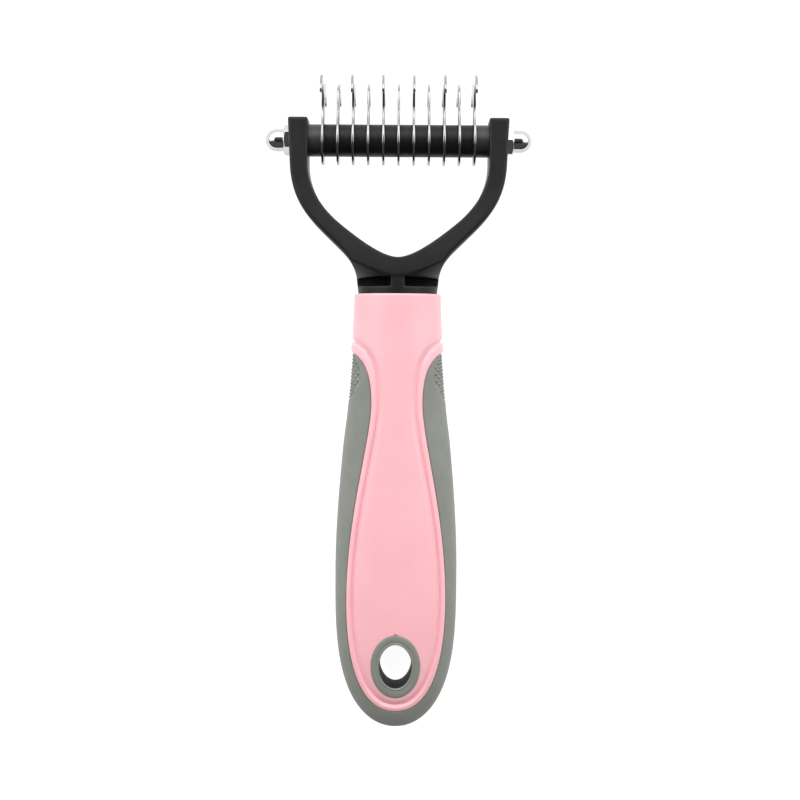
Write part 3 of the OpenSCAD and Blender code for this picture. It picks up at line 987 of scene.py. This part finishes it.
for node in sorted(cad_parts):
    if node.startswith("spacer"):
        spacer(node.replace("spacer", "black_spacer"), node, BLACK)
    elif "blade" in node:
        double = node.startswith("double")
        blade(node.replace("blade", "tooth"), node, double, STEEL)
    elif "nut" in node:
        turn = 30 if middle(node, 0) < 0 else 0         # the left nut has a flat to the front
        cap_nut(node.replace("nut", "dome_nut"), node, turn, CHROME)
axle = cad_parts["axle"]
for slot in axle.material_slots:
    slot.material = ROD


# ---- the floor, light and camera ----
# The comb lies on its rear tooth tips and on the belly of its handle. The floor is the plane through them.

def resting_plane():
    """A point of the resting plane and its normal, in frame metres."""
    tip = np.array([AXLE_AT + CREST - TIP_DROP, -TOOTH_REACH])
    body = bpy.data.objects["handle_body"].data.vertices
    skin = np.array([v.co for v in body]) - np.array([0, RIM_Y, MID_Z])
    y, z = skin[:, 1] / MM, skin[:, 2] / MM
    slope = np.min((z - tip[1]) / (tip[0] - y))
    normal = np.array([0, slope, 1]) / math.hypot(slope, 1)
    return np.array([0, tip[0] * MM + RIM_Y, tip[1] * MM + MID_Z]), normal


FOOT, UP = resting_plane()


def placed_frame(centre, back, roll=0.0):
    """A matrix that looks along -back, with +Y upwards in the view, leaning by roll degrees."""
    back = np.array(back) / np.linalg.norm(back)
    up = np.array([0, 1.0, 0]) - back * back[1]
    up /= np.linalg.norm(up)
    right = np.cross(up, back)
    c, s = math.cos(math.radians(roll)), math.sin(math.radians(roll))
    columns = np.column_stack([right * c + up * s, up * c - right * s, back])
    matrix = Matrix(columns.tolist()).to_4x4()
    matrix.translation = centre
    return matrix


FLOOR_HALF, FLOOR_LINES = 3.0, 13                   # half its side in metres, and its lines of points
FLOOR_DROP = 0.02 * MM                              # how far it lies under the comb


def floor():
    """A pale table that glows a little, so that it is nearly white all over."""
    line = np.linspace(-FLOOR_HALF, FLOOR_HALF, FLOOR_LINES)
    matrix = placed_frame(FOOT - UP * FLOOR_DROP, UP)
    points = [matrix @ Vector((x, y, 0)) for y in line for x in line]
    number = np.arange(FLOOR_LINES ** 2).reshape(FLOOR_LINES, FLOOR_LINES)
    faces = np.stack([number[:-1, :-1], number[:-1, 1:], number[1:, 1:], number[1:, :-1]], axis=-1)
    faces = faces.reshape(-1, 4).tolist()
    mesh = bpy.data.meshes.new("studio_floor")
    mesh.from_pydata(points, [], faces)
    f = Finish("white_table", Roughness=0.75, Emission_Color=(1, 1, 1, 1), Emission_Strength=0.95)
    f.colour(f.noise(400), (0.19, 0.19, 0.19), (0.21, 0.21, 0.21))
    f.bump(f.noise(1.5), 0.005)
    mesh.materials.append(f.material)
    piece = bpy.data.objects.new("studio_floor", mesh)
    bpy.context.scene.collection.objects.link(piece)


def soft_light(name, direction, size, power):
    """A white rectangle of light, a metre away, that faces the comb."""
    light = bpy.data.lights.new(name, "AREA")
    light.shape, light.size, light.size_y = "RECTANGLE", *size
    light.energy = power
    direction = np.array(direction) / np.linalg.norm(direction)
    lamp = bpy.data.objects.new(name, light)
    lamp.matrix_world = placed_frame(direction, direction)
    bpy.context.scene.collection.objects.link(lamp)


# The sky's ramps: an axis, then where along it the ramp starts and ends, and its values there.
SKY_STRENGTH = 2.45
SKY_RAMPS = (
    (UP, 0.86, 0.95, SKY_STRENGTH, 0.05 * SKY_STRENGTH),
    (UP, 0.05, 0.4, 0.35, 1),
    ((0, 1, 0), -0.35, 0.35, 0.04, 1))


def sky():
    """A white surround. It is dim straight over the comb, on the handle's side and at the horizon."""
    world = bpy.data.worlds.new("studio")
    world.use_nodes = True
    nodes, links = world.node_tree.nodes, world.node_tree.links
    way = nodes.new("ShaderNodeTexCoord").outputs["Generated"]
    total = None
    for axis, *limits in SKY_RAMPS:
        dot = nodes.new("ShaderNodeVectorMath")
        dot.operation = "DOT_PRODUCT"
        dot.inputs[1].default_value = axis
        links.new(way, dot.inputs[0])
        ramp = nodes.new("ShaderNodeMapRange")
        ramp.interpolation_type = "SMOOTHSTEP"
        for name, number in zip(MAP_SOCKETS, limits):
            ramp.inputs[name].default_value = number
        links.new(dot.outputs["Value"], ramp.inputs["Value"])
        if total:
            product = nodes.new("ShaderNodeMath")
            product.operation = "MULTIPLY"
            links.new(total, product.inputs[0])
            links.new(ramp.outputs["Result"], product.inputs[1])
            total = product.outputs["Value"]
        else:
            total = ramp.outputs["Result"]
    nodes["Background"].inputs["Color"].default_value = (1, 1, 1, 1)
    links.new(total, nodes["Background"].inputs["Strength"])
    bpy.context.scene.world = world


CAMERA_FAR = 440 * MM
PICTURE, SENSOR = 800, 36                           # the picture's width in pixels, and the sensor's in mm
FOCAL_PIXELS = 1671.0
AIM_X, AIM_Y = 0.79, -27.82                         # where the view's middle meets the comb's middle plane
ROLL = 0.36                                         # lean of the view in degrees


def camera():
    """Looks straight down on the floor, so that the comb's front is seen as in the photograph."""
    lens = bpy.data.cameras.new("camera")
    lens.sensor_width = SENSOR
    lens.lens = SENSOR * FOCAL_PIXELS / PICTURE
    lens.clip_start, lens.clip_end = 0.02, 20
    view = bpy.data.objects.new("camera", lens)
    aim = np.array([AIM_X * MM, AIM_Y * MM + RIM_Y, MID_Z])
    view.matrix_world = placed_frame(aim + UP * CAMERA_FAR, UP, ROLL)
    bpy.context.scene.collection.objects.link(view)
    bpy.context.scene.camera = view


floor()
sky()
soft_light("left_softbox", (-1.0, 0.35, 0.8), (0.9, 0.7), 1.2)
soft_light("right_softbox", (1.0, 0.35, 0.8), (0.9, 0.7), 1.2)
soft_light("head_softbox", (0.0, 1.3, 0.8), (1.0, 0.6), 0.5)
camera()
bpy.context.scene.view_settings.view_transform = "Standard"
